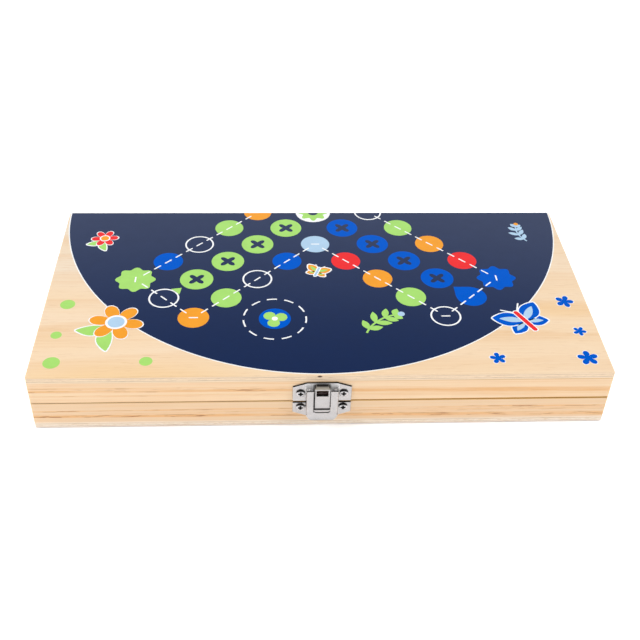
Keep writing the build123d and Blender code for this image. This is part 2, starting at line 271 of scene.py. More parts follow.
def makeGrainGroup():
    # along X: fibres and hairs are stretched noise, pores short dashes, and growth lines a saw
    # wave of the distance across, bent by slow noise
    n, given, result = newGroup("woodGrain", ["Vector"], ["Line Spacing", "Line Waver", "Fibre Size"],
                                ["Lines", "Fibres", "Hairs", "Cloud", "Pores"])
    place, size = given["Vector"], given["Fibre Size"]
    _, y, z = n.split(place)
    slow = n.noise(n.stretch(place, 5.0, 16.0, 16.0), detail=2.0)
    across = n.plus(y, z, n.swing(slow, 0.5, given["Line Waver"]))
    turns = n.math("FRACT", n.math("DIVIDE", across, given["Line Spacing"]))
    rise, fall = n.range(turns, 0.25, 0.85), n.range(turns, 0.88, 1.0, 1.0, 0.0)
    n.feed(result["Lines"], n.times(rise, fall))
    fine = n.vector("DIVIDE", place, n.join(n.times(size, 45.0), size, size))
    n.feed(result["Fibres"], n.noise(fine, detail=4.0, roughness=0.6))
    n.feed(result["Hairs"], n.noise(n.stretch(place, 14.0, 800.0, 800.0), detail=4.0, roughness=0.65))
    n.feed(result["Cloud"], n.noise(n.stretch(place, 9.0, 60.0, 60.0), roughness=0.55))
    dashes = n.noise(n.stretch(place, 110.0, 1900.0, 1900.0), detail=1.0)
    n.feed(result["Pores"], n.range(dashes, 0.63, 0.72))
    return n.tree


def makeEdgeGroup():
    # 1 where the surface turns sharply (rounded normal against real one), broken up by noise
    n, given, result = newGroup("edgeWear", ["Vector"], ["Radius", "Breakup"], ["Mask"])
    rounded = n("Bevel", {"samples": 6}, Radius=given["Radius"]).outputs[0]
    flat = n("NewGeometry").outputs["Normal"]
    turned = n.minus(1.0, n.vector("DOT_PRODUCT", rounded, flat))
    patchy = n.noise(given["Vector"], 420.0, roughness=0.6)
    strength = n.minus(1.0, n.times(given["Breakup"], patchy))
    n.feed(result["Mask"], n.times(n.range(turned, 0.02, 0.16), strength, clamp=True))
    return n.tree


def makeShadeAndGrimeGroup():
    # painted shade with some dirt: 1 deep in a recess or gap, where walls within reach hide most of the
    # sky
    n, given, result = newGroup("creviceShadeAndGrime", ["Vector"], ["Reach", "Clear Above"], ["Mask"])
    clear = n("AmbientOcclusion", {"samples": 12}, Distance=given["Reach"]).outputs["AO"]
    hidden = n.range(clear, 0.12, given["Clear Above"], 1.0, 0.0)
    patchy = n.range(n.noise(given["Vector"], 900.0), 0.25, 0.75, 0.75, 1.0)
    n.feed(result["Mask"], n.times(hidden, patchy, clamp=True))
    return n.tree


def makeScratchGroup():
    # three noises stretched along different directions, thresholded to thin lines
    n, given, result = newGroup("hairScratches", ["Vector"], ["Amount"], ["Mask", "Height"])
    total = 0.0
    for turn, long in ((0.15, 150.0), (1.05, 210.0), (2.3, 120.0)):
        spun = n("VectorRotate", {"rotation_type": "Y_AXIS"}, Vector=given["Vector"], Angle=turn)
        lines = n.noise(n.stretch(spun.outputs[0], long, 5200.0, 5200.0), detail=1.0)
        total = n.plus(total, n.range(lines, 0.66, 0.74))
    mask = n.times(total, given["Amount"], clamp=True)
    n.feed(result["Mask"], mask)
    n.feed(result["Height"], n.minus(1.0, mask))
    return n.tree


def makeZoneGroup():
    # 1 inside the box from Low to High, fading out over its outer 0.1 mm
    n, given, result = newGroup("boxZone", ["Vector", "Low", "High"], [], ["Mask"])
    inside = n.vector("MINIMUM", n.vector("SUBTRACT", given["Vector"], given["Low"]),
                      n.vector("SUBTRACT", given["High"], given["Vector"]))
    least = n.chain("MINIMUM", *n.split(inside))
    n.feed(result["Mask"], n.range(least, 0.0, 0.1 * mm))
    return n.tree


grainGroup = makeGrainGroup()
edgeGroup = makeEdgeGroup()
shadeAndGrimeGroup = makeShadeAndGrimeGroup()
scratchGroup = makeScratchGroup()
zoneGroup = makeZoneGroup()
print("shader groups made")


def zone(n, place, ranges):
    # ranges: three in mm that bound a box, and the amount inside it
    *sides, amount = ranges
    low, high = ([side[end] * mm for side in sides] for end in (0, 1))
    return n.times(n.group(zoneGroup, Vector=place, Low=low, High=high)["Mask"], amount)


def dress(n, shader, colour, roughness, height, relief):
    bump = n("Bump", Strength=relief[0], Distance=relief[1] * mm, Height=height)
    n.fill(shader, Base_Color=colour, Roughness=roughness, Normal=bump.outputs[0])


def agedAndShadedWood(n, place, colour, s):
    # edges rubbed to paler wood, and painted shade with some dirt in corners and along joints
    wear = n.group(edgeGroup, Radius=0.0005, Vector=place, Breakup=0.9)["Mask"]
    colour = n.mix(n.times(wear, s["rub"]), colour, s["rubbed"])
    reach, amount = s["shadeAndGrime"]
    # painted shade: crevices darkened by ambient occlusion, with some dirt
    shadeAndGrime = n.group(shadeAndGrimeGroup, Reach=reach * mm, Clear_Above=0.6, Vector=place)["Mask"]
    return n.mix(n.times(shadeAndGrime, amount), colour, s["shade"])


# the face veneer's grain, which shows in the inks as well
veneerGrain = {"Line_Spacing": 0.021, "Line_Waver": 0.045, "Fibre_Size": 0.0007}

plywoodSettings = {
    "pale": (0.772, 0.600, 0.423),  # sapwood of the face veneer
    "sheenPaled": (0.710, 0.625, 0.520),  # painted sheen: the same paled towards the fold, where the varnish's grazing sheen lies
    # y in mm from none to all of it, x in mm from all to the last share
    "sheenSpread": ((-45, 65), (-60, 100), 0.45),
    "warm": (0.762, 0.535, 0.300),  # heartwood
    "warmShare": 0.22,  # of it where no streak of it lies
    "patches": 1.3,  # how far clouds change that share
    # streaks of heartwood: middle and half size in mm, strength
    "heart": (((-98, -76), (85, 20), 0.75), ((128, -22), (38, 9), 0.65), ((40, 30), (90, 8), 0.35)),
    "figure": (0.685, 0.430, 0.220),  # darker growth bands
    "fibres": (0.44, 0.60),  # the noise's middle, and how much it darkens from there
    "hairs": (0.48, 0.75),
    "pore": (0.56, 0.34, 0.17),
    "poreShare": 0.30,
    "edge": (0.850, 0.665, 0.475),  # sawn plies
    "foot": (0.87, 0.782, 0.688),  # paler near the table
    "footReach": 1.7,  # where that ends, in panel thicknesses
    "speck": (0.70, 0.52, 0.355),  # open pores in the middle ply
    "glue": (0.36, 0.24, 0.15),
    "outerPly": 1.05,  # mm, thickness of each outer ply
    "glueLine": 0.17,  # mm
    "knot": (-2.4, -72.4, 33.2),  # mm, a pin knot in the front edge
    "knotSize": (1.5, 0.70),  # mm, along the edge and up it
    "knotColour": (0.075, 0.025, 0.010),
    "rubbed": (0.60, 0.42, 0.25),  # wood bared at the edges
    "rub": 0.16,
    "shade": (0.30, 0.17, 0.08),  # painted shade with some dirt in corners and along joints
    "shadeAndGrime": (3.0, 0.7),  # its reach in mm and how much it covers
    "roughness": 0.46,
    "relief": (0.25, 0.12),  # strength and depth in mm
}


def plywoodFace(n, place, grain):
    # growth bands and fibres over sapwood; streaks of heartwood fade with the distance from their
    # middle over their half size, bent by clouds
    s = plywoodSettings
    x, y, _ = n.split(place)
    uneven = n.minus(n.noise(n.stretch(place, 7.0, 34.0, 34.0), roughness=0.55), 0.5)
    share = n.plus(s["warmShare"], n.times(uneven, s["patches"]))
    for middle, halves, strength in s["heart"]:
        along, across = (n.math("DIVIDE", n.minus(value, centre * mm), half * mm)
                         for value, centre, half in zip((x, y), middle, halves))
        away = n.plus(n.vector("LENGTH", n.join(along, across, 0.0)), uneven)
        share = n.plus(share, n.range(away, 0.3, 1.1, strength, 0.0))
    # painted sheen: paler towards the fold
    (none, whole), (left, right), last = s["sheenSpread"]
    sheenPaled = n.times(n.range(y, none * mm, whole * mm), n.range(x, left * mm, right * mm, 1.0, last))
    colour = n.mix(share, n.mix(sheenPaled, s["pale"], s["sheenPaled"]), s["warm"])
    bands = n.times(grain["Lines"], n.range(grain["Cloud"], 0.35, 0.75, 0.15, 0.55))
    tone = n.plus(bands, n.swing(grain["Hairs"], *s["hairs"]), n.swing(grain["Fibres"], *s["fibres"]))
    colour = n.mix(tone, colour, s["figure"])
    return n.mix(n.times(grain["Pores"], s["poreShare"]), colour, s["pore"])


def plywoodEdge(n, place, specks):
    # plies told apart by their depth below the nearer face of the box
    s = plywoodSettings
    z = n.split(place)[2]
    depth = n.math("MINIMUM", z, n.minus(boxHigh[2] * mm, z))
    ply, thickness = s["outerPly"] * mm, (panelHigh[2] - panelLow[2]) * mm
    middle = n.band(depth, thickness / 2, thickness / 2 - ply, 0.93)
    base = n.mix(n.range(z, 0.0, s["footReach"] * thickness, 0.9, 0.0), s["edge"], s["foot"])
    core = n.mix(n.range(specks, 0.42, 0.72), base, s["speck"])
    fibres = n.noise(n.stretch(place, 60.0, 60.0, 2600.0), roughness=0.65)
    outer = n.mix(n.range(fibres, 0.40, 0.75, 0.0, 0.7), base, s["speck"])
    glue = n.plus(*(n.band(depth, line, s["glueLine"] * mm) for line in (ply, thickness - ply)))
    broken = n.range(n.noise(n.stretch(place, 90.0, 90.0, 300.0)), 0.3, 0.6, 0.35, 0.85)
    return n.mix(n.times(glue, broken), n.mix(middle, outer, core), s["glue"])


def makePlywood():
    material, n, shader = newMaterial("plywood_lacquered")
    s = plywoodSettings
    coordinates = n("TexCoord").outputs
    place = coordinates["Object"]
    grain = n.group(grainGroup, Vector=place, **veneerGrain)
    specks = n.noise(n.stretch(place, 300.0, 300.0, 2600.0), roughness=0.7)
    onEdge = n.range(n.math("ABSOLUTE", n.split(coordinates["Normal"])[2]), 0.25, 0.6, 1.0, 0.0)
    colour = n.mix(onEdge, plywoodFace(n, place, grain), plywoodEdge(n, place, specks))
    offset = n.vector("SUBTRACT", place, [value * mm for value in s["knot"]])
    wide, tall = (1 / (value * mm) for value in s["knotSize"])
    knot = n.range(n.vector("LENGTH", n.stretch(offset, wide, wide, tall)), 0.5, 1.0, 1.0, 0.0)
    colour = agedAndShadedWood(n, place, n.mix(knot, colour, s["knotColour"]), s)
    rough = n.plus(s["roughness"], n.times(grain["Fibres"], 0.14), n.times(onEdge, 0.18))
    height = n.plus(n.minus(grain["Fibres"], n.times(grain["Pores"], 0.8)), n.times(specks, onEdge, 1.5))
    dress(n, shader, colour, rough, height, s["relief"])
    return material


pineSettings = {
    "grain": {"Line_Spacing": 0.0105, "Line_Waver": 0.010, "Fibre_Size": 0.00042},
    "light": (0.857, 0.632, 0.410),
    "lowerShaded": (0.793, 0.576, 0.372),  # painted shade: the lower tray's rails darker than the upper tray's
    "line": (0.775, 0.440, 0.190),
    "dash": (0.34, 0.115, 0.030),
    "end": (0.66, 0.45, 0.27),
    "fibres": (0.5, 0.42),
    "hairs": (0.46, 1.15),
    # growth lines at the box's left and right end: mm above the table, half width, strength
    "streaks": (((24.9, 1.0, 1.15), (23.0, 2.3, 1.25)), ((26.6, 1.3, 0.50), (24.8, 1.0, 0.20)),
                ((21.6, 0.6, 0.45), (20.6, 3.2, 0.65)), ((11.3, 0.7, 0.90), (11.6, 0.8, 0.85)),
                ((7.9, 1.1, 1.30), (5.9, 2.1, 1.10)), ((9.3, 0.7, 0.45), (10.0, 2.0, 0.45)),
                ((28.8, 0.6, 0.30), (28.3, 0.7, 0.25))),
    "waver": 2.0,  # mm, how far the growth lines stray
    "dashes": (0.85, 0.10),  # their share in most places, and at the upper rails' right
    "pith": (-60.0, -30.0),  # mm across and up, the middle of the end's rings
    "ringWidth": 2.2,  # mm
    "seamColour": (0.53, 0.25, 0.012),
    "partingHeight": 17.0,  # mm, the parting line of the closed box
    # painted shade with some dirt along the joints: height and reach in mm, depth at the left and right
    # end
    "seams": ((17.0, 0.85, 0.35, 1.0), (30.2, 0.45, 0.05, 0.65)),
    "rubbed": (0.62, 0.42, 0.24),  # as for the plywood
    "rub": 0.16,
    # painted shade with some dirt in corners, and the painted shadow behind the latch
    "shade": (0.10, 0.05, 0.025),
    "shadeAndGrime": (5.0, 0.9),
    "shadowBehindLatch": ((-4.6, 2.6), (-72.6, -72.2), (17.2, 28.4), 0.9),  # painted shadow on the rail, seen through the keeper
    "roughness": 0.50,
    "relief": (0.30, 0.14),
}


def pineStreaks(n, along, across, z):
    # long growth lines at listed heights, wavering slowly and fading in and out
    s = pineSettings
    slow = n.noise(n.join(n.times(along, 9.0), n.times(across, 20.0), 0.0), detail=2.0)
    bent = n.plus(z, n.swing(slow, 0.5, s["waver"] * mm))
    total = 0.0
    for index, (atLeft, atRight) in enumerate(s["streaks"]):
        level, half, strength = (n.range(along, boxLow[0] * mm, boxHigh[0] * mm, left, right, "LINEAR")
                                 for left, right in zip(atLeft, atRight))
        line = n.band(n.math("DIVIDE", bent, mm), level, half)
        other = n.join(n.times(along, 14.0), n.times(across, 10.0), 3.7 * index)
        fade = n.range(n.noise(other, detail=2.0), 0.32, 0.60, 0.35, 1.0)
        total = n.plus(total, n.times(line, fade, strength))
    return total


def pineSeamShade(n, along, across, z, normalZ, reach):
    # painted shade with some dirt: dark lines where the trays meet and where a panel lies on the rails,
    # outside only
    outside = n.math("GREATER_THAN", n.math("ABSOLUTE", across), (reach - 0.5) * mm)
    upright = n.range(n.math("ABSOLUTE", normalZ), 0.75, 0.95, 1.0, 0.0)
    total = 0.0
    for height, half, atLeft, atRight in pineSettings["seams"]:
        line = n.band(z, height * mm, half * mm, 0.4)
        total = n.plus(total, n.times(line, n.range(along, -0.15, 0.10, atLeft, atRight)))
    return n.times(total, outside, upright)


def pineEnd(n, across, z, specks):
    # end grain: rings of even width about a pith below the rail, and pores
    s = pineSettings
    ring = n.join(0.0, n.minus(across, s["pith"][0] * mm), n.minus(z, s["pith"][1] * mm))
    turns = n.math("FRACT", n.math("DIVIDE", n.vector("LENGTH", ring), s["ringWidth"] * mm))
    return n.mix(n.plus(n.times(turns, 0.55), n.times(specks, 0.6)), s["light"], s["end"])


def makePine(name, alongX):
    # fibres and growth lines along the rail, resin canals as thin dark dashes in the lines
    material, n, shader = newMaterial(name)
    s = pineSettings
    coordinates = n("TexCoord").outputs
    x, y, z = n.split(coordinates["Object"])
    along, across, reach = (x, y, panelHigh[1]) if alongX else (y, x, panelHigh[0])
    place = n.join(along, across, z)
    grain = n.group(grainGroup, Vector=place, **s["grain"])
    tone = n.plus(n.swing(grain["Hairs"], *s["hairs"]), n.times(grain["Lines"], 0.06),
                  n.times(n.range(grain["Cloud"], 0.40, 0.75), 0.16),
                  n.swing(grain["Fibres"], *s["fibres"]))
    lower = n.math("LESS_THAN", z, s["partingHeight"] * mm)
    # painted shade: the lower tray's rails darker
    colour = n.mix(tone, n.mix(lower, s["light"], s["lowerShaded"]), s["line"])
    streaks = n.times(pineStreaks(n, along, across, z), n.range(grain["Fibres"], 0.25, 0.75, 0.55, 1.15),
                      clamp=True)
    colour = n.mix(streaks, colour, s["line"])
    dashes = n.range(n.noise(n.stretch(place, 110.0, 2300.0, 2300.0), detail=1.5), 0.57, 0.63)
    many, few = s["dashes"]
    kept = n.most(n.times(lower, many), n.range(along, -0.06, 0.02, many, few))
    colour = n.mix(n.times(dashes, streaks, kept), colour, s["dash"])

    normals = n.split(coordinates["Normal"])
    onEnd = n.range(n.math("ABSOLUTE", normals[0 if alongX else 1]), 0.6, 0.9)
    specks = n.noise(n.stretch(place, 800.0, 3400.0, 3400.0), detail=2.0, roughness=0.7)
    colour = agedAndShadedWood(n, place, n.mix(onEnd, colour, pineEnd(n, across, z, specks)), s)
    # painted shadow on the rail behind the latch
    colour = n.mix(zone(n, coordinates["Object"], s["shadowBehindLatch"]), colour, s["shade"])
    # painted shade with some dirt along the joints
    colour = n.mix(pineSeamShade(n, along, across, z, normals[2], reach), colour, s["seamColour"])
    rough = n.plus(s["roughness"], n.times(grain["Fibres"], 0.16), n.times(onEnd, 0.2))
    height = n.plus(n.minus(grain["Fibres"], n.times(grain["Pores"], 0.7)), n.times(specks, onEnd, 1.6))
    dress(n, shader, colour, rough, height, s["relief"])
    return material


# hairs: how much hairlines show; dimples: strength and depth in mm; and the normal's upward part
# between which the latch's up-facing edges turn from bright to dark with painted shade
metalSettings = {
    "latch_nickel": {"colour": (0.485, 0.470, 0.472), "roughness": 0.25, "hairs": 0.22,
                     "dimples": (0.35, 0.03), "topShade": (0.35, 0.62)},
    "screw_steel": {"colour": (0.56, 0.550, 0.560), "roughness": 0.13, "hairs": 0.20,
                    "dimples": (0.35, 0.01), "topShade": (0.14, 0.34)},
    "hinge_steel": {"colour": (0.60, 0.585, 0.580), "roughness": 0.28, "hairs": 0.45,
                    "dimples": (0.35, 0.03)},
}
metalAge = {
    "stained": 0.78,  # share of the colour left under stains
    "rubbed": (0.90, 0.885, 0.87),  # bare metal at the edges, with a painted highlight along them
    "rub": 0.7,
    # near black of painted shade and of dirt
    "shadeAndDirt": (0.012, 0.0105, 0.010),
    "shadeInGaps": 0.9,  # painted shade with some dirt in narrow gaps, how much of it covers
    "shadeOnTops": 0.98,  # painted shade on the latch's edges that face up
    "shadeInHollows": 0.97,  # painted shade in its slot and screws
    # painted reflection of the wood on the hook's top
    "woodReflection": (0.33, 0.30, 0.25),
    # painted light: pale matt plating where the keeper lies in shade
    "paintedLight": (0.90, 0.885, 0.88),
    # painted shade behind the link's window, brown as the shaded wood seen there
    "windowShade": (0.085, 0.022, 0.017),
}
# places on the latch as ranges of x, y and z in mm, with an amount: painted shadows, a rougher hook with
# a painted brown reflection of wood, painted shade behind the window, and painted light on plating made
# matt
paintedShadows = (
    ((-5.2, 3.2), (-75.3, -73.2), (28.85, 29.3), 0.97),  # hook top
    ((-5.50, -4.52), (-76.9, -73.2), (12.6, 26.9), 0.97),  # left gap
    ((-5.50, -4.74), (-73.3, -72.9), (23.5, 28.7), 0.95),  # beside hook
    ((2.76, 3.26), (-73.3, -72.9), (23.5, 28.7), 0.75),  # right of hook
    ((-5.3, 3.3), (-73.4, -72.8), (11.0, 12.6), 0.95),  # under link
    ((-4.9, 2.9), (-75.8, -74.6), (13.2, 14.7), 0.93),  # link foot
    ((-5.1, -4.15), (-75.7, -73.2), (28.15, 29.3), 0.95),  # hook left
    ((2.15, 3.1), (-75.7, -73.2), (28.15, 29.3), 0.95),  # hook right
    ((-5.55, -5.10), (-77.0, -76.6), (12.8, 26.6), 0.85),  # slot edge
)
hookWoodReflection = ((-5.2, 3.2), (-75.9, -73.3), (27.25, 28.95), 1.0)
shadedWindow = ((-4.3, 2.3), (-74.9, -73.0), (21.5, 27.0), 1.0)
# painted light on the keeper and the lever's flanges, on plating made matt
litKeeper = ((-9.6, 7.6), (-73.3, -72.9), (20.0, 30.0), 0.95)
litFlanges = (((-9.9, -5.6), (-75.95, -73.35), (25.2, 27.8), 0.62),
                 ((3.6, 7.9), (-75.95, -73.35), (25.2, 27.8), 0.50))
latchPlaces = {  # mm
    "front": -60.0,  # all metal before this belongs to the latch
    "middle": -1.0,
    "slotHalf": 4.2,  # half width of the lever's slot
    "slotFoot": 11.0,  # the plate behind the slot has no painted shade below this height
    "hookAbove": 28.0,  # only the hook lies above this and before hookFront
    "hookFront": -73.4,
    "screwHalf": 10.7,  # from the middle to the screws
    "screwHeights": (23.0, 13.6),
    "crossHalf": (1.50, 0.74),  # length and width of the painted shade in a cross recess, halved
}


def latchPlace(n, place):
    # distance aside from the latch's middle, y, z, and 1 on the latch
    x, y, z = n.split(place)
    return (n.gap(x, latchPlaces["middle"] * mm), y, z,
            n.math("LESS_THAN", y, latchPlaces["front"] * mm))


def upwardShade(n, place, normal, low, high):
    # painted shade: 1 on edges of the latch that face up, which mirror the dark room, but 0 on the hook
    _, y, z, latch = latchPlace(n, place)
    hook = n.times(n.math("GREATER_THAN", z, latchPlaces["hookAbove"] * mm),
                   n.math("LESS_THAN", y, latchPlaces["hookFront"] * mm))
    return n.times(n.range(n.split(normal)[2], low, high), latch, n.minus(1.0, hook))


def slotShade(n, place):
    # painted shade deep inside the lever's slot and link, where little sky is seen within 8 mm
    aside, _, z, latch = latchPlace(n, place)
    deep = n.group(shadeAndGrimeGroup, Reach=0.008, Clear_Above=0.80, Vector=place)["Mask"]
    return n.times(deep, n.math("LESS_THAN", aside, latchPlaces["slotHalf"] * mm), latch,
                   n.math("GREATER_THAN", z, latchPlaces["slotFoot"] * mm))


def crossShade(n, place):
    # painted shade in the cross recesses of the latch's screws: two crossed bars at the nearest screw
    aside, _, z, latch = latchPlace(n, place)
    aside = n.gap(aside, latchPlaces["screwHalf"] * mm)
    away = n.math("MINIMUM", *(n.gap(z, height * mm) for height in latchPlaces["screwHeights"]))
    length, width = (half * mm for half in latchPlaces["crossHalf"])
    flat, tall = (n.times(n.range(one, 0.7 * length, length, 1.0, 0.0),
                          n.range(other, 0.5 * width, width, 1.0, 0.0))
                  for one, other in ((aside, away), (away, aside)))
    return n.times(n.most(flat, tall), latch)


def makeMetal(name):
    # plating with faint stains and specks, bright at rubbed edges with a painted highlight, and dark
    # with painted shade and some dirt in recesses
    s, age, isNickel = metalSettings[name], metalAge, name == "latch_nickel"
    material, n, shader = newMaterial(name + "_plated")
    coordinates = n("TexCoord").outputs
    place = coordinates["Object"]
    shader.inputs["Metallic"].default_value = 1.0
    scratches = n.group(scratchGroup, Vector=place, Amount=s["hairs"])
    wear = n.group(edgeGroup, Radius=0.00022, Vector=place, Breakup=0.5)["Mask"]
    # painted shade with some dirt in narrow gaps, from ambient occlusion
    gaps = n.group(shadeAndGrimeGroup, Reach=0.0008, Clear_Above=0.8, Vector=place)["Mask"]
    shadeAndDirt = n.times(gaps, age["shadeInGaps"])
    if "topShade" in s:
        # painted shade on edges that face up
        topShade = upwardShade(n, place, coordinates["Normal"], *s["topShade"])
        if isNickel:
            # no painted shade where the flanges get painted light
            flanges = n.most(*(zone(n, place, ranges) for ranges in litFlanges))
            topShade = n.times(topShade, n.minus(1.0, flanges))
        hollows = slotShade(n, place) if isNickel else crossShade(n, place)
        shadeAndDirt = n.most(shadeAndDirt, n.times(topShade, age["shadeOnTops"]), n.times(hollows, age["shadeInHollows"]))
    cloud = n.noise(place, 260.0, 4.0, 0.6)
    specks = n.noise(place, 2100.0, 2.0, 0.6)
    stain = n.plus(n.range(cloud, 0.45, 0.75, 0.0, 0.35), n.range(specks, 0.35, 0.65, 0.0, 0.5))
    base = n.mix(stain, s["colour"], [age["stained"] * c for c in s["colour"]])
    # rubbed edges, partly a painted highlight along them
    base = n.mix(n.times(wear, age["rub"]), base, age["rubbed"])
    rough = n.plus(s["roughness"], n.times(scratches["Mask"], 0.20))
    darkColour = age["shadeAndDirt"]
    if isNickel:
        # painted shadows in the gaps and round the hook
        shadeAndDirt = n.most(shadeAndDirt, *(zone(n, place, ranges) for ranges in paintedShadows))
        # painted reflection of wood on the hook
        reflecting, window = zone(n, place, hookWoodReflection), zone(n, place, shadedWindow)
        # painted light, with the plating made matt and rough
        lit = n.most(zone(n, place, litKeeper), flanges)
        base = n.mix(lit, n.mix(reflecting, base, age["woodReflection"]), age["paintedLight"])
        # painted shade behind the link's window, brown as the shaded wood there
        base = n.mix(n.times(window, shadeAndDirt), base, age["windowShade"])
        darkColour = n.mix(window, darkColour, age["windowShade"])
        n.feed(shader.inputs["Metallic"], n.minus(1.0, lit))
        rough = n.plus(rough, n.times(n.most(reflecting, lit), 0.3))
    rough = n.plus(rough, n.times(cloud, 0.08), n.times(shadeAndDirt, 0.4))
    height = n.plus(n.noise(place, 900.0, 2.0), n.times(scratches["Height"], 0.4))
    dress(n, shader, n.mix(shadeAndDirt, base, darkColour), rough, height, s["dimples"])
    return material


paintSettings = {
    "pawn_green": (0.20, 0.55, 0.07),
    "pawn_blue": (0.01, 0.13, 0.52),
    "pawn_red": (0.70, 0.035, 0.03),
    "pawn_orange": (0.90, 0.27, 0.02),
    "die_white": (0.84, 0.79, 0.68),
}
paintBody = {
    "grain": {"Line_Spacing": 0.004, "Line_Waver": 0.004, "Fibre_Size": 0.0005},
    "thin": 0.72,  # share of the colour left where the paint is thin
    "bare": (0.62, 0.43, 0.25),  # wood at worn edges
    "roughness": 0.16,
    "relief": (0.30, 0.1),
}


def makePaint(name):
    # gloss paint over turned wood: faint grain under it, worn to the wood at sharp edges
    material, n, shader = newMaterial(name + "_painted")
    s, colour = paintBody, paintSettings[name]
    place = n("TexCoord").outputs["Object"]
    grain = n.group(grainGroup, Vector=place, **s["grain"])
    wear = n.group(edgeGroup, Radius=0.0005, Vector=place, Breakup=1.0)["Mask"]
    cloud = n.noise(place, 150.0)
    base = n.mix(n.times(cloud, 0.22), colour, [s["thin"] * c for c in colour])
    base = n.mix(n.range(wear, 0.55, 0.9, 0.0, 0.55), base, s["bare"])
    height = n.plus(n.times(grain["Fibres"], 0.5), cloud)
    dress(n, shader, base, n.plus(s["roughness"], n.times(cloud, 0.16)), height, s["relief"])
    return material


inkSettings = {  # colour and gloss
    "navy": ((0.0085, 0.0205, 0.072), 0.50),
    "white": ((0.86, 0.87, 0.88), 0.20),
    "green": ((0.350, 0.645, 0.150), 0.20),
    "blue": ((0.0, 0.090, 0.520), 0.05),
    "sky": ((0.395, 0.565, 0.735), 0.20),
    "red": ((0.765, 0.027, 0.030), 0.15),
    "orange": ((0.800, 0.315, 0.028), 0.15),
}
inkBody = {
    "sheen": (0.70, 0.82, 1.0),  # the gloss of the ink is slightly blue
    "mottled": 0.78,  # share of the colour left in the mottling
    "roughness": 0.11,
    "relief": (0.10, 0.06),
}


def makeInk(name):
    # smooth printing ink, slightly mottled, with the veneer's fibres showing through
    material, n, shader = newMaterial("ink_" + name)
    s, (colour, gloss) = inkBody, inkSettings[name]
    n.fill(shader, Specular_IOR_Level=gloss, Specular_Tint=s["sheen"])
    place = n("TexCoord").outputs["Object"]
    grain = n.group(grainGroup, Vector=place, **veneerGrain)
    mottle = n.noise(place, 140.0, 4.0, 0.65)
    shade = n.plus(n.times(mottle, 0.7), n.times(grain["Fibres"], 0.3))
    base = n.mix(n.range(shade, 0.3, 0.7, 0.0, 0.35), colour, [s["mottled"] * c for c in colour])
    dress(n, shader, base, n.plus(s["roughness"], n.times(shade, 0.10)), mottle, s["relief"])
    return material


finishes = {"plywood": makePlywood(), "pine": makePine("pine_long_rails", True)}
pineSides = makePine("pine_side_rails", False)
finishes.update({name: makeMetal(name) for name in metalSettings})
finishes.update({name: makePaint(name) for name in paintSettings})
inks = {name: makeInk(name) for name in inkSettings}
for part in frame["record"]["subparts"]:
    isSide = part["node"].endswith(("left_rail", "right_rail"))
    finish = pineSides if isSide else finishes[part["material_slot"]]
    for materialSlot in frame["nodes"][part["node"]].material_slots:
        materialSlot.material = finish
print("finishes assigned")


# the board's print in millimetres: u along the fold, v away from it, (0, 0) the board's middle
boardSettings = {
    "foldY": 72.575,  # the fold's place in the closed box
    "edgeV": -0.35,  # the print stops this far from the fold
    "discRadius": 143.6,
    "rimWidth": 0.6,
    "inkStep": 0.012,  # thickness of one pass of ink
    "pitch": 23.5,  # between neighbouring fields
    "fieldRadius": 8.2,
    "outlineWidth": 0.9,
    "homeRadius": 9.1,
    "homeMark": 5.2,
    "startRadius": 11.0,
    "dashWidth": 0.85,
    "dashLength": 4.1,
    "armLength": 5,  # fields from the middle to an arm's end
    "pointer": (4.46, 4.66, 3.4),  # tip and root in fields from the middle, half width
    "hub": (10.4, 9.0, 3.0),  # radii of the middle's disc, scalloped field and eye
    "spotShare": 0.78,  # size of the left-hand player's home spots to the right-hand one's
    "spotEdge": 0.40,  # white edge of the latter
    "fieldCycle": ("orange", "green", "outline", "blue", "sky", "red"),
}


def towards(angle):
    return np.stack([np.cos(angle), np.sin(angle)], -1)


def placed(path, turn, start):
    # points along and across a heading, turned to it and moved to the start
    ahead = towards(turn)
    return np.array(start) + path[:, :1] * ahead + path[:, 1:] * (ahead[::-1] * (-1, 1))


def arc(radius, start, stop, centre=(0.0, 0.0), count=49):
    return np.array(centre) + radius * towards(np.linspace(start, stop, count))


def polar(centre, radiusOf, turn=0.0, count=96):
    # closed outline: radiusOf(angle) from the centre, turned by turn
    t = np.linspace(0.0, 2 * pi, count, endpoint=False)
    r = radiusOf(t) * np.ones(count)
    return np.array(centre) + r[:, None] * towards(t + turn)


def disc(centre, radius):
    return polar(centre, lambda t: radius, count=64)


def lobes(centre, radius, count, depth, turn=0.0):
    # the radius swells and shrinks count times round, by depth of itself
    return polar(centre, lambda t: radius * (1 - depth + depth * np.cos(count * t)), turn)


def flower(centre, radius, count, turn=0.0, grow=0.0):
    # petals with rounded tips: the radius follows the root of a rectified cosine
    return polar(centre, lambda t: radius * (0.34 + 0.66 * np.abs(np.cos(count * t / 2)) ** 0.7) + grow,
                 turn, 160)


def drop(centre, radius, heading):
    # a disc with a cusp at its heading that dies away exponentially
    def radiusOf(t):
        away = np.minimum(t, 2 * pi - t)
        return radius * (1 + 0.5 * np.exp(-away / 0.30))
    return polar(centre, radiusOf, heading)


def leaf(base, length, width, turn, grow=0.0, bend=0.0):
    # two mirrored bows; the half width is a power of the sine of the way along
    s = np.linspace(0.0, 1.0, 25)
    half = width / 2 * np.sin(pi * s) ** 0.85 + grow
    middle = bend * np.sin(pi * s)
    reach = s * (length + 2 * grow) - grow
    along = np.concatenate([reach, reach[::-1]])
    across = np.concatenate([middle - half, (middle + half)[::-1]])
    return placed(np.stack([along, across], 1), turn, base)


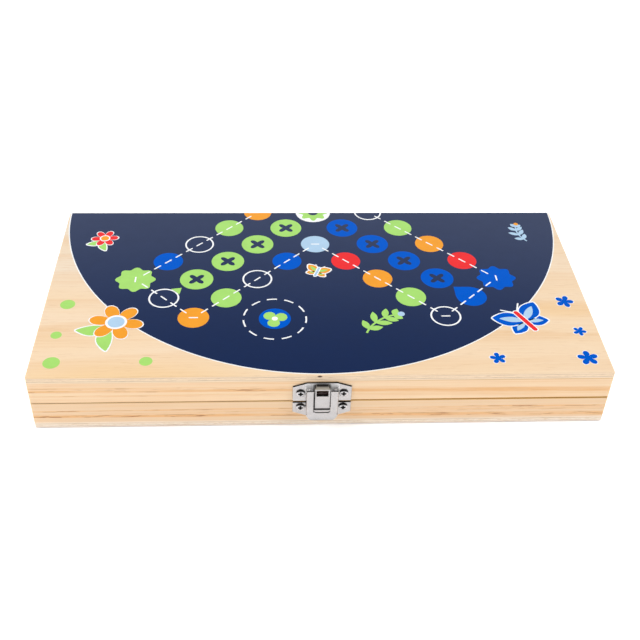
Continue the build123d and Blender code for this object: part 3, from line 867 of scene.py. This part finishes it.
def capsule(start, stop, width):
    # a dash with round ends
    start, stop = np.array(start, float), np.array(stop, float)
    angle = np.arctan2(*(stop - start)[::-1])
    return np.concatenate([arc(width / 2, angle - pi / 2, angle + pi / 2, stop, 9),
                           arc(width / 2, angle + pi / 2, angle + 3 * pi / 2, start, 9)])


def stroke(path, width):
    # the path moved half a width to either side
    ahead = np.gradient(path, axis=0)
    side = np.stack([-ahead[:, 1], ahead[:, 0]], 1)
    side = side / np.hypot(side[:, 0], side[:, 1])[:, None] * width / 2
    return np.concatenate([path - side, (path + side)[::-1]])


def trimmed(loop):
    # cut at the fold: points beyond it slide onto the edge, and those between the ends go
    edge = boardSettings["edgeV"]
    beyond = loop[:, 1] > edge
    loop = np.stack([loop[:, 0], np.minimum(loop[:, 1], edge)], 1)
    inside = beyond & np.roll(beyond, 1) & np.roll(beyond, -1)
    return loop[~inside]


class Print:
    # the patches of ink on one half of the board: (outline, hole or None, number of passes)

    def __init__(self):
        self.patches = {name: [] for name in inkSettings}

    def add(self, ink, level, outline, hole=None):
        if outline[:, 1].min() < boardSettings["edgeV"]:
            self.patches[ink].append((trimmed(outline) if hole is None else outline, hole, level))

    def edged(self, ink, level, edge, shape):
        # the shape on a white one that is grown by the edge
        self.add("white", level - 1, shape(edge))
        self.add(ink, level, shape(0.0))

    def ring(self, ink, level, centre, radius, width):
        if centre[1] + radius > boardSettings["edgeV"]:  # at the fold each half has half a ring
            self.add(ink, level, stroke(arc(radius - width / 2, pi, 2 * pi, centre), width))
        else:
            self.add(ink, level, disc(centre, radius), disc(centre, radius - width))


def inkMesh(name, patches, faceZ, outwards):
    # every patch is a closed slab: its outline on the board's face and again raised by its passes
    # of ink, with a wall between; a ring has both loops, joined point for point
    points, faces, used = [], [], 0
    for outline, hole, level in patches:
        loops = [outline] if hole is None else [outline, hole]
        count = len(outline)
        for loop in loops:
            for height in (0.0, level * boardSettings["inkStep"]):
                z = np.full(count, faceZ + outwards * height)
                points.append(np.stack([loop[:, 0], boardSettings["foldY"] + loop[:, 1], z], 1))
        # loops 0 and 1 are the outline's low and top one, 2 and 3 the hole's
        ring, slab = used + np.arange(count), []
        for one, other in ((0, 1),) if hole is None else ((0, 1), (3, 2), (1, 3), (2, 0)):
            a, b = ring + one * count, ring + other * count
            slab += np.stack([a, np.roll(a, -1), np.roll(b, -1), b], 1).tolist()
        if hole is None:
            slab += [(ring + count).tolist(), ring[::-1].tolist()]
        faces += slab if outwards > 0 else [face[::-1] for face in slab]
        used += 2 * count * len(loops)
    return meshOf(name, np.concatenate(points), faces)


def meshOf(name, points, faces):
    mesh = bpy.data.meshes.new(name)
    mesh.from_pydata((points * mm).tolist(), [], faces)
    mesh.validate()
    mesh.update()
    return mesh


def addPiece(mesh, body, material):
    mesh.materials.append(material)
    piece = addObject(mesh.name, mesh)
    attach(piece, body)


def cellPlace(a, b):
    # the playing cross, turned so that its arms point at the board's corners
    return np.array([a - b, a + b]) * boardSettings["pitch"] / sqrt(2)


def track():
    # the fields round the left arm, and the same mirrored round the right arm
    reach = boardSettings["armLength"]
    out = [cellPlace(-a, 1) for a in range(1, reach + 1)]
    back = [cellPlace(-a, -1) for a in range(reach, 0, -1)]
    left = out + [cellPlace(-reach, 0)] + back
    return left + [field * (-1, 1) for field in left[-2::-1]]


def heading(start, stop):
    return (stop - start) / np.hypot(*(stop - start))


def drawDash(sheet, middle, ahead):
    half = ahead * boardSettings["dashLength"] / 2
    sheet.add("white", 3, capsule(middle - half, middle + half, boardSettings["dashWidth"]))


def drawTrack(sheet, players):
    # fields on a dashed way: a dash in each field and two on the way to the next
    s = boardSettings
    fields = track()
    reach, last = s["armLength"], len(fields) - 1
    starts = {reach - 1: players[0], last - reach + 1: players[1]}
    for index, centre in enumerate(fields):
        ink = s["fieldCycle"][index % len(s["fieldCycle"])]
        if index in starts:
            sheet.add(starts[index], 2, lobes(centre, s["startRadius"], 8, 0.09))
        elif index == last - reach:
            sheet.add(players[1], 2, drop(centre, s["fieldRadius"], 3 * pi / 4))
        elif ink == "outline" or index == reach:
            sheet.ring("white", 2, centre, s["fieldRadius"], s["outlineWidth"])
        else:
            sheet.add(ink, 2, disc(centre, s["fieldRadius"]))
        if 0 < index < last:
            drawDash(sheet, centre, heading(fields[index - 1], fields[index + 1]))
    for before, after in zip(fields, fields[1:]):
        for share in (1 / 3, 2 / 3):
            drawDash(sheet, before + (after - before) * share, heading(before, after))


def drawHomes(sheet, players):
    # four home fields in each arm, each with a navy cross of lobes, and a small pointer at the left
    s = boardSettings
    for ink, (a, b) in zip(players, ((-1, 0), (0, -1))):
        for step in range(1, s["armLength"]):
            centre = cellPlace(a * step, b * step)
            sheet.add(ink, 2, disc(centre, s["homeRadius"]))
            sheet.add("navy", 3, lobes(centre, s["homeMark"], 4, 0.30, pi / 4))
    near, far, half = s["pointer"]
    tip, root = cellPlace(-near, 0), cellPlace(-far, 0)
    side = np.array([-1.0, 1.0]) * half / sqrt(2)
    sheet.add(players[0], 2, np.array([tip, root - side, root + side]))


# motifs take a centre, a size in mm, a turn and three inks
edgeWidth = 0.6  # mm, of the white under flowers, leaves and butterflies


def drawBloom(sheet, centre, size, turn, petalInk, leafInk, eyeInk):
    # a six-petalled flower on two bent leaves
    centre = np.array(centre)
    base = centre - 0.35 * size * towards(turn)
    for side, share in ((1, 1.0), (-1, 0.9)):
        blade = (base, 1.35 * size * share, 0.55 * size, turn + pi + 0.72 * side)
        bend = -0.12 * size * side
        sheet.edged(leafInk, 5, edgeWidth, lambda grow: leaf(*blade, grow, bend))
    sheet.edged(petalInk, 7, edgeWidth, lambda grow: flower(centre, size, 6, turn, grow))
    sheet.add("white", 8, disc(centre, 0.40 * size))
    sheet.add(eyeInk, 9, disc(centre, 0.31 * size))


def drawButterfly(sheet, centre, size, turn, wingInk, patchInk, bodyInk):
    # two large and two small wings, each a leaf with a patch, a long body and two feelers
    centre = np.array(centre)
    for side in (-1, 1):
        for angle, length, width, level in ((2.05, 0.85, 0.55, 5), (0.95, 1.15, 0.72, 7)):
            blade = (centre, length * size, width * size, turn + side * angle)
            sheet.edged(wingInk, level, edgeWidth, lambda grow: leaf(*blade, grow))
            patch = (centre, 0.78 * length * size, 0.40 * width * size, turn + side * angle)
            sheet.add(patchInk, level + 1, leaf(*patch))
        root, tip = 0.45 * size * towards(turn), 0.95 * size * towards(turn + 0.42 * side)
        sheet.add("white", 8, capsule(centre + root, centre + tip, 0.06 * size))
    nose, tail = centre + 0.50 * size * towards(turn), centre - 0.55 * size * towards(turn)
    sheet.edged(bodyInk, 10, edgeWidth, lambda grow: capsule(nose, tail, 0.17 * size + 2 * grow))


def drawSprig(sheet, centre, size, turn, leafInk, stemInk, berryInk):
    # leaves in pairs on a stem that bends as an arc, with a berry at its tip
    t = np.linspace(-0.55, 0.55, 25)
    bow = np.stack([size * 1.9 * np.sin(t), size * 1.9 * (np.cos(t) - 0.93)], 1)
    stem = placed(bow, turn, centre)
    sheet.add(stemInk, 5, stroke(stem, 0.09 * size))
    for index, share in ((3, 0.62), (9, 0.72), (15, 0.62), (20, 0.45)):
        angle = turn - t[index]
        for side in (-1, 1):
            sheet.add(leafInk, 6, leaf(stem[index], share * size, 0.30 * size, angle + 0.85 * side))
    sheet.add(berryInk, 7, disc(stem[-1], 0.15 * size))


def drawRoundel(sheet, centre, size, turn, groundInk, leafInk, eyeInk):
    # a disc with a clover on it, and a dashed loop round the disc
    sheet.add(groundInk, 5, disc(centre, 0.62 * size))
    sheet.add(leafInk, 6, flower(centre, 0.50 * size, 3, turn))
    sheet.add(eyeInk, 7, disc(centre, 0.12 * size))
    dashes = 11
    for step in range(dashes):
        start = turn + 2 * pi * step / dashes
        path = arc(1.22 * size, start, start + 1.15 * pi / dashes, centre, 9)
        sheet.add("white", 3, stroke(path, boardSettings["dashWidth"]))


# for each tray's half: motif, centre and size in mm, turn in degrees, inks
motifs = {
    "upper_tray": (
        (drawBloom, (-106, -103), 14, 50, "orange", "green", "sky"),
        (drawButterfly, (108, -104), 15, 118, "blue", "sky", "red"),
        (drawRoundel, (-24, -101), 13.5, 20, "blue", "green", "white"),
        (drawSprig, (32, -104), 12.5, 38, "green", "green", "sky"),
        (drawBloom, (-121, -27), 7.5, 65, "red", "green", "orange"),
        (drawSprig, (122, -22), 9, 100, "sky", "sky", "orange"),
        (drawButterfly, (0, -60), 7, 70, "orange", "green", "sky"),
    ),
    "lower_tray": (
        (drawButterfly, (-107, -104), 15, 62, "orange", "red", "sky"),
        (drawBloom, (106, -103), 14, 130, "red", "green", "white"),
        (drawSprig, (-30, -104), 12.5, 142, "green", "green", "orange"),
        (drawRoundel, (26, -101), 13.5, 200, "orange", "red", "white"),
        (drawSprig, (-122, -22), 9, 80, "sky", "sky", "red"),
        (drawBloom, (121, -27), 7.5, 115, "sky", "green", "blue"),
        (drawButterfly, (0, -60), 7, 110, "sky", "blue", "orange"),
    ),
}

# home spots of the right-hand player: centre and radius in mm; the others mirror them
homeSpots = (((133.0, -88.0), 5.0), ((88.0, -133.5), 4.2),
             ((134.0, -134.0), 5.4), ((135.0, -113.0), 3.6))


def drawHalf(players):
    s = boardSettings
    sheet = Print()
    reach = s["discRadius"]
    sheet.add("navy", 1, arc(reach, pi, 2 * pi, count=241))
    rim = np.concatenate([arc(reach + s["rimWidth"], pi, 2 * pi, count=241),
                          arc(reach, 2 * pi, pi, count=241)])
    sheet.add("white", 1, rim)
    drawTrack(sheet, players)
    drawHomes(sheet, players)
    middle, (hub, field, eye) = (0.0, 0.0), s["hub"]
    sheet.add("white", 2, disc(middle, hub))
    sheet.add(players[0], 3, lobes(middle, field, 8, 0.14))
    sheet.add("navy", 4, disc(middle, eye))
    for (u, v), radius in homeSpots:
        sheet.add(players[0], 1, disc((-u, v), s["spotShare"] * radius))
        sheet.edged(players[1], 2, s["spotEdge"], lambda grow: flower((u, v), radius, 5, radius, grow))
    return sheet


halves = (("upper_tray", ("green", "blue"), boxHigh[2], 1),
          ("lower_tray", ("red", "orange"), boxLow[2], -1))
for body, players, faceZ, outwards in halves:
    sheet = drawHalf(players)
    for draw, centre, size, turn, *motifInks in motifs[body]:
        draw(sheet, centre, size, radians(turn), *motifInks)
    for name, patches in sheet.patches.items():
        if patches:
            mesh = inkMesh(f"{body}_print_{name}", patches, faceZ, outwards)
            addPiece(mesh, body, inks[name])
print("board printed")


def dome(centre, across, up, outwards, radius, height, rings=4, count=20):
    # from rim to pole the radius falls as a cosine and the height rises as a sine
    s = np.linspace(0.0, pi / 2, rings, endpoint=False)[:, None]
    t = np.linspace(0.0, 2 * pi, count, endpoint=False)[None, :]
    r, h = radius * np.cos(s), height * np.sin(s) + 0 * t
    shell = (centre + (r * np.cos(t))[..., None] * across + (r * np.sin(t))[..., None] * up
             + h[..., None] * outwards)
    points = np.concatenate([shell.reshape(-1, 3), [centre + height * outwards]])
    grid = np.arange(rings * count).reshape(rings, count)
    right = np.roll(grid, -1, axis=1)
    quads = np.stack([grid[:-1], right[:-1], right[1:], grid[1:]], -1).reshape(-1, 4).tolist()
    cap = [[a, b, rings * count] for a, b in zip(grid[-1], right[-1])]
    return points, quads + cap + [grid[0][::-1].tolist()]


pipSettings = {"dieTurn": 24.0, "spread": 3.1, "radius": 1.15, "height": 0.05}


def addPips():
    # opposite sides of the die add up to seven
    s = pipSettings
    low, high = (np.array(corner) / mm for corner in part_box("die"))
    middle, half = (low + high) / 2, (high[2] - low[2]) / 2
    c, d = np.cos(radians(s["dieTurn"])), np.sin(radians(s["dieTurn"]))
    ex, ey, ez = np.array([[c, d, 0.0], [-d, c, 0.0], [0.0, 0.0, 1.0]])
    corners = [(-1, -1), (1, 1), (-1, 1), (1, -1)]
    pips = {1: [(0, 0)], 2: corners[:2], 3: [(0, 0)] + corners[:2], 4: corners,
            5: [(0, 0)] + corners, 6: corners + [(-1, 0), (1, 0)]}
    sides = {5: (ex, ey, ez), 2: (ey, ex, -ez), 3: (ey, ez, ex), 4: (ez, ey, -ex),
             1: (ez, ex, ey), 6: (ex, ez, -ey)}
    points, faces, used = [], [], 0
    for value, (across, up, outwards) in sides.items():
        for a, b in pips[value]:
            centre = middle + outwards * half + s["spread"] * (a * across + b * up)
            own, ownFaces = dome(centre, across, up, outwards, s["radius"], s["height"])
            points.append(own)
            faces += [[used + index for index in face] for face in ownFaces]
            used += len(own)
    addPiece(meshOf("die_pips", np.concatenate(points), faces), "lower_tray", inks["navy"])


addPips()
print("die marked")
